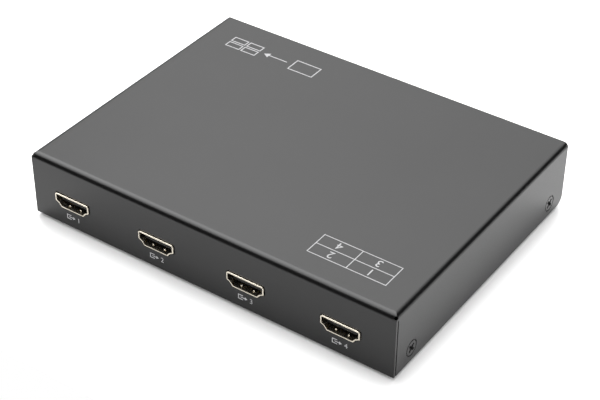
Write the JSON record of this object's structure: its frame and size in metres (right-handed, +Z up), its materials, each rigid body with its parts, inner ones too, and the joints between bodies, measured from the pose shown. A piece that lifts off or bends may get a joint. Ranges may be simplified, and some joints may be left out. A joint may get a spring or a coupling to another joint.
{
  "type": "video wall controller",
  "caption": "Flat folded-steel box with a row of video output sockets, a control panel with buttons, lights, input and power on its far side, and low rubber feet.",
  "frame": {"origin": "middle of the outer box in X and Y, on the plane that the feet stand on", "axes": "+Z up; the output panel faces -Y and the control panel faces +Y; +X along the output panel, to the right for someone who looks at it"},
  "size_m": [0.149, 0.114, 0.0267],
  "materials": {
    "case_paint": "satin anthracite powder coat on folded steel",
    "black_screw": "black oxide steel, lightly oiled",
    "zinc_steel": "zinc plated steel",
    "plated_shell": "pale gold plate over nickel, semi-bright",
    "gold_contacts": "flash gold",
    "socket_plastic": "black moulded nylon",
    "foot_rubber": "matt black",
    "circuit_board": "green solder mask",
    "clear_film": "milky polyester film",
    "button_plastic": "fine-textured black",
    "switch_plastic": "moulded black",
    "light_chip": "clear resin over a white base",
    "clear_plastic": "clear polycarbonate, slightly diffusing",
    "smoked_plastic": "dark red-black, passes infrared",
    "chip_resin": "moulded epoxy",
    "thermal_pad": "soft grey-blue silicone",
    "heat_sink_alloy": "black anodised",
    "ferrite": "pressed ferrite powder",
    "can_alloy": "bright drawn can",
    "ceramic": "fired ceramic",
    "fuse_ceramic": "white ceramic, tinned ends"
  },
  "bodies": {
    "controller": {"top_cover": "case_paint", "base_tray": "case_paint", "side_screws": "black_screw", "press_nuts": "zinc_steel", "board_standoffs": "zinc_steel", "board_screws": "zinc_steel", "insulating_film": "clear_film", "main_board": "circuit_board", "service_port_shell": "plated_shell", "service_port_insert": "socket_plastic", "service_port_contacts": "gold_contacts", "power_jack_body": "socket_plastic", "power_jack_pin": "zinc_steel", "power_jack_spring_leaf": "zinc_steel", "light_chips": "light_chip", "light_pipes": "clear_plastic", "infrared_window": "smoked_plastic", "infrared_eye": "smoked_plastic", "main_processor": "chip_resin", "thermal_pad": "thermal_pad", "heat_sink": "heat_sink_alloy", "input_receiver": "chip_resin", "memory_chips": "chip_resin", "flash_chip": "chip_resin", "microcontroller": "chip_resin", "power_inductors": "ferrite", "power_capacitors": "can_alloy", "small_capacitors": "ceramic", "timing_crystal": "zinc_steel", "power_fuse": "fuse_ceramic", "foot_1": "foot_rubber", "output_driver_1": "chip_resin", "foot_2": "foot_rubber", "output_driver_2": "chip_resin", "foot_3": "foot_rubber", "output_driver_3": "chip_resin", "foot_4": "foot_rubber", "output_driver_4": "chip_resin", "output_socket_1_shell": "plated_shell", "output_socket_1_insert": "socket_plastic", "output_socket_1_contacts": "gold_contacts", "output_socket_2_shell": "plated_shell", "output_socket_2_insert": "socket_plastic", "output_socket_2_contacts": "gold_contacts", "output_socket_3_shell": "plated_shell", "output_socket_3_insert": "socket_plastic", "output_socket_3_contacts": "gold_contacts", "output_socket_4_shell": "plated_shell", "output_socket_4_insert": "socket_plastic", "output_socket_4_contacts": "gold_contacts", "input_socket_shell": "plated_shell", "input_socket_insert": "socket_plastic", "input_socket_contacts": "gold_contacts", "mode_switch_body": "switch_plastic", "select_switch_body": "switch_plastic"},
    "mode_button": {"mode_button": "button_plastic", "mode_switch_stem": "switch_plastic"},
    "select_button": {"select_button": "button_plastic", "select_switch_stem": "switch_plastic"}
  },
  "joints": [
    {"name": "mode_button_press", "type": "slide", "parent": "controller", "child": "mode_button", "axis": [0, -1, 0], "range_m": [0, 0.00035], "stiffness_N_per_m": 1200},
    {"name": "select_button_press", "type": "slide", "parent": "controller", "child": "select_button", "axis": [0, -1, 0], "range_m": [0, 0.00035], "stiffness_N_per_m": 1200}
  ]
}
